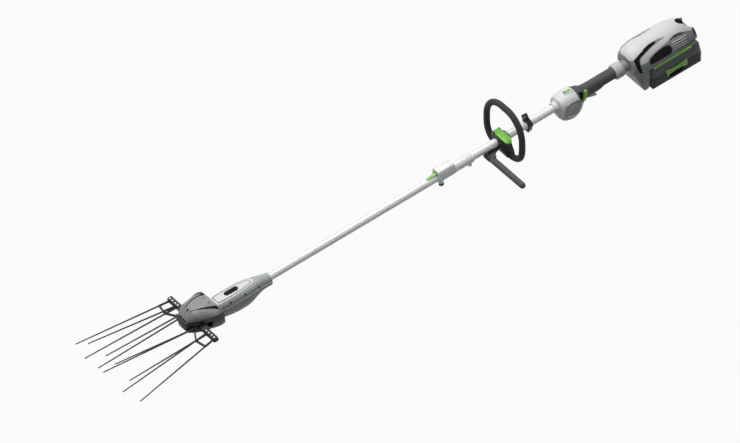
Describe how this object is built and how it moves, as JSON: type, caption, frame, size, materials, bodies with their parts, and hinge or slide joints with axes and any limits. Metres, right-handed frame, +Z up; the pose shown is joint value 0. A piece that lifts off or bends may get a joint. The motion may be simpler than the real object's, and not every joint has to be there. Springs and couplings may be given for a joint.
{
  "type": "electric olive harvester",
  "caption": "Battery pole harvester: oscillating tined rakes on a coupled pole, loop handle with barrier bar, trigger grip, rear power head with slide-out battery.",
  "frame": {"origin": "on the pole axis, at the front face of the coupler sleeve, where the lower pole enters it", "axes": "+X along the pole to the power head and battery, -X to the rakes, +Z up when the tool is held level, -Y the operator's left"},
  "size_m": [2.1911, 0.3435, 0.2125],
  "materials": {
    "shell_white": "satin moulded",
    "shell_grey": "satin moulded",
    "cover_grey": "satin moulded",
    "dark_grey": "fine grain",
    "black": "fine grain",
    "green": "glossy moulded",
    "rubber_black": "soft foam and rubber",
    "aluminium": "drawn tube",
    "steel": "turned",
    "winding": "wound stator",
    "board": "potted board",
    "tine": "fibre rod"
  },
  "bodies": {
    "power_unit": {"upper_pole": "aluminium", "upper_bushes": "black", "coupler_sleeve": "aluminium", "coupler_cover": "aluminium", "pole_bolts": "steel", "strap_ring": "black", "switch_housing_left": "shell_white", "switch_housing_right": "shell_white", "side_panels": "shell_grey", "display_panel": "black", "grip_left": "dark_grey", "grip_right": "dark_grey", "hinge_pins": "steel", "switch_module": "black", "grip_collar": "shell_white", "rear_top_shell": "shell_white", "rear_lower_housing": "shell_grey", "side_intakes": "black", "badge_plates": "dark_grey", "rear_bumpers": "rubber_black", "motor_stator": "winding", "controller_board": "board"},
    "battery": {"battery_case": "black", "battery_bezel": "dark_grey", "battery_trim": "green"},
    "battery_release": {"release_button": "black"},
    "trigger": {"trigger": "green"},
    "lock_lever": {"lock_lever": "green"},
    "mode_button": {"mode_button": "green"},
    "front_handle": {"loop_grip": "rubber_black", "clamp_base": "black", "clamp_pin": "steel", "barrier_bar": "dark_grey"},
    "clamp_lever": {"clamp_lever": "green"},
    "release_lever": {"release_lever": "green"},
    "coupler_knob": {"coupler_knob": "black"},
    "attachment": {"lower_pole": "aluminium", "lower_bushes": "black", "neck_upper_shell": "shell_grey", "neck_lower_shell": "dark_grey", "neck_top_panel": "shell_white", "neck_badge_plate": "dark_grey", "neck_screws": "steel", "gear_bearings": "steel", "head_upper_cover": "cover_grey", "head_lower_cover": "dark_grey", "head_nose_bumper": "rubber_black", "head_screws": "steel", "rake_pins": "steel"},
    "drive": {"upper_drive_shaft": "steel", "motor_rotor": "steel"},
    "lower_drive": {"lower_drive_shaft": "steel"},
    "crank": {"crank_gear": "steel", "crank_shaft": "steel"},
    "left_rake": {"rake_hub_left": "dark_grey", "rake_comb_left": "black", "rake_tines_left": "tine"},
    "right_rake": {"rake_hub_right": "dark_grey", "rake_comb_right": "black", "rake_tines_right": "tine"}
  },
  "joints": [
    {"name": "battery_slide", "type": "slide", "parent": "power_unit", "child": "battery", "axis": [1, 0, 0], "range_m": [0, 0.2]},
    {"name": "battery_button_press", "type": "slide", "parent": "power_unit", "child": "battery_release", "axis": [0, 0, -1], "range_m": [0, 0.003], "stiffness_N_per_m": 2500},
    {"name": "trigger_pull", "type": "hinge", "parent": "power_unit", "child": "trigger", "pos_m": [0.549, 0, -0.021], "axis": [0, -1, 0], "range_deg": [0, 14], "stiffness_Nm_per_rad": 0.6},
    {"name": "lock_lever_swing", "type": "hinge", "parent": "power_unit", "child": "lock_lever", "pos_m": [0.535, -0.0225, -0.012], "axis": [0, -1, 0], "range_deg": [0, 10], "stiffness_Nm_per_rad": 0.4},
    {"name": "mode_button_press", "type": "slide", "parent": "power_unit", "child": "mode_button", "axis": [0, 0, -1], "range_m": [0, 0.0012], "stiffness_N_per_m": 3000},
    {"name": "front_handle_slide", "type": "slide", "parent": "power_unit", "child": "front_handle", "axis": [1, 0, 0], "range_m": [-0.04, 0.045]},
    {"name": "clamp_lever_swing", "type": "hinge", "parent": "front_handle", "child": "clamp_lever", "pos_m": [0.242, 0.0222, 0.017], "axis": [-1, 0, 0], "range_deg": [0, 100]},
    {"name": "release_lever_press", "type": "hinge", "parent": "power_unit", "child": "release_lever", "pos_m": [0.022, 0, 0.02], "axis": [0, 1, 0], "range_deg": [0, 12], "stiffness_Nm_per_rad": 0.6},
    {"name": "coupler_knob_turn", "type": "hinge", "parent": "power_unit", "child": "coupler_knob", "pos_m": [0.015, 0, -0.03], "axis": [0, 0, 1], "range_deg": [-180, 180]},
    {"name": "attachment_pull", "type": "slide", "parent": "power_unit", "child": "attachment", "axis": [-1, 0, 0], "range_m": [0, 0.1]},
    {"name": "drive_spin", "type": "hinge", "parent": "power_unit", "child": "drive", "pos_m": [0.7, 0, 0], "axis": [1, 0, 0], "continuous": true},
    {"name": "lower_drive_spin", "type": "hinge", "parent": "attachment", "child": "lower_drive", "pos_m": [-0.3, 0, 0], "axis": [1, 0, 0], "continuous": true},
    {"name": "crank_spin", "type": "hinge", "parent": "attachment", "child": "crank", "pos_m": [-0.8, 0, 0.015], "axis": [1, 0, 0], "continuous": true},
    {"name": "left_rake_swing", "type": "hinge", "parent": "attachment", "child": "left_rake", "pos_m": [-0.885, -0.034, 0], "axis": [0, 0, 1], "range_deg": [0, 12]},
    {"name": "right_rake_swing", "type": "hinge", "parent": "attachment", "child": "right_rake", "pos_m": [-0.885, 0.034, 0], "axis": [0, 0, -1], "range_deg": [0, 12]}
  ],
  "couplings": [
    {"joint": "lower_drive_spin", "follows": "drive_spin", "ratio": 1},
    {"joint": "crank_spin", "follows": "drive_spin", "ratio": -0.5},
    {"joint": "right_rake_swing", "follows": "left_rake_swing", "ratio": 1}
  ]
}
